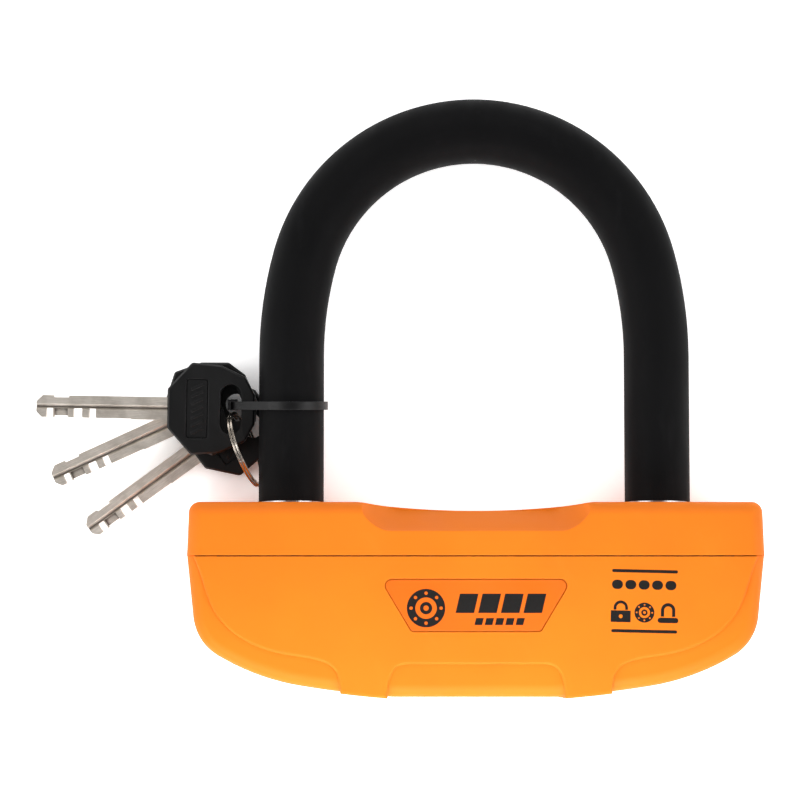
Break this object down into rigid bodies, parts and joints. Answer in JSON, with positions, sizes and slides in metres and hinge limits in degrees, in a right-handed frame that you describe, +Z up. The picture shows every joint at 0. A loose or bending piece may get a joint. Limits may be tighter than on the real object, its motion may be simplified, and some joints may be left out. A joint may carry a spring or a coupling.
{
  "type": "disc brake lock",
  "caption": "Small U-shaped disc brake lock: black sleeved steel shackle in an orange covered crossbar, with keys on a split ring tied to one leg.",
  "frame": {"origin": "centre of the bounding box in plan, at the floor that the lock lies on", "axes": "+X along the crossbar to the end away from the keys, +Y from the crossbar towards the shackle's bend, +Z up, out of the crossbar's front face"},
  "size_m": [0.2164, 0.1812, 0.0445],
  "materials": {
    "bar_steel": "hardened, bright zinc",
    "vinyl": "satin black vinyl sleeve",
    "nylon": "black nylon, semi matte",
    "orange": "moulded orange plastic, fine satin grain",
    "badge": "slightly redder orange plastic, satin",
    "black_plastic": "black moulded plastic",
    "zinc": "zinc plated",
    "case_steel": "hardened case, phosphated",
    "bright_steel": "ground steel",
    "cast_zinc": "die cast, as cast",
    "brass": "turned brass",
    "bow_plastic": "black moulded plastic, half gloss",
    "nickel": "nickel plated, satin",
    "ring_steel": "bright nickel plated spring steel"
  },
  "bodies": {
    "shackle": {"shackle_bar": "bar_steel", "shackle_sleeve": "vinyl", "cable_tie": "nylon"},
    "crossbar": {"top_cover": "orange", "lower_cover": "orange", "badge_plate": "badge", "cover_screws": "zinc", "crossbar_tube": "case_steel", "end_plug_left": "case_steel", "end_plug_right": "case_steel", "ferrule_left": "bright_steel", "ferrule_right": "bright_steel", "bolt_guide": "cast_zinc", "retaining_pin": "bright_steel", "cylinder_housing": "case_steel"},
    "plug": {"core_barrel": "brass", "guard_disc": "bright_steel", "detainer_discs": "brass", "disc_spacers": "brass", "sidebar": "bright_steel", "locking_cam": "cast_zinc", "retaining_ring": "bright_steel"},
    "left_bolt": {"bolt_left": "bright_steel"},
    "right_bolt": {"bolt_right": "bright_steel"},
    "shutter": {"keyhole_shutter": "black_plastic"},
    "bottom_key": {"key_bottom_bow": "bow_plastic", "key_bottom_blade": "nickel"},
    "middle_key": {"key_middle_bow": "bow_plastic", "key_middle_blade": "nickel"},
    "top_key": {"key_top_bow": "bow_plastic", "key_top_blade": "nickel"},
    "ring": {"key_ring": "ring_steel"}
  },
  "joints": [
    {"name": "crossbar_pull", "type": "slide", "parent": "shackle", "child": "crossbar", "axis": [0, -0.9962, 0.0872], "range_m": [0, 0.06]},
    {"name": "key_turn", "type": "hinge", "parent": "crossbar", "child": "plug", "pos_m": [0.02346, -0.07145, 0.02308], "axis": [0, 0.9962, -0.0872], "range_deg": [0, 90]},
    {"name": "bolt_left_throw", "type": "slide", "parent": "crossbar", "child": "left_bolt", "axis": [-1, 0, 0], "range_m": [0, 0.0057]},
    {"name": "bolt_right_throw", "type": "slide", "parent": "crossbar", "child": "right_bolt", "axis": [1, 0, 0], "range_m": [0, 0.0057]},
    {"name": "shutter_slide", "type": "slide", "parent": "crossbar", "child": "shutter", "axis": [1, 0, 0], "range_m": [0, 0.018]},
    {"name": "bottom_key_swing", "type": "hinge", "parent": "shackle", "child": "bottom_key", "pos_m": [-0.04889, -0.002, 0.01], "axis": [0, 0, 1], "range_deg": [-5, 2]},
    {"name": "middle_key_swing", "type": "hinge", "parent": "shackle", "child": "middle_key", "pos_m": [-0.04889, -0.002, 0.01], "axis": [0, 0, 1], "range_deg": [-5, 5]},
    {"name": "top_key_swing", "type": "hinge", "parent": "shackle", "child": "top_key", "pos_m": [-0.04889, -0.002, 0.01], "axis": [0, 0, 1], "range_deg": [-5, 5]},
    {"name": "ring_swing", "type": "hinge", "parent": "shackle", "child": "ring", "pos_m": [-0.04912, -0.00433, 0.01], "axis": [0, 0, 1], "range_deg": [-3, 0.5]}
  ],
  "couplings": [
    {"joint": "bolt_left_throw", "follows": "key_turn", "m_per_rad": 0.0036013},
    {"joint": "bolt_right_throw", "follows": "key_turn", "m_per_rad": 0.0036013}
  ]
}
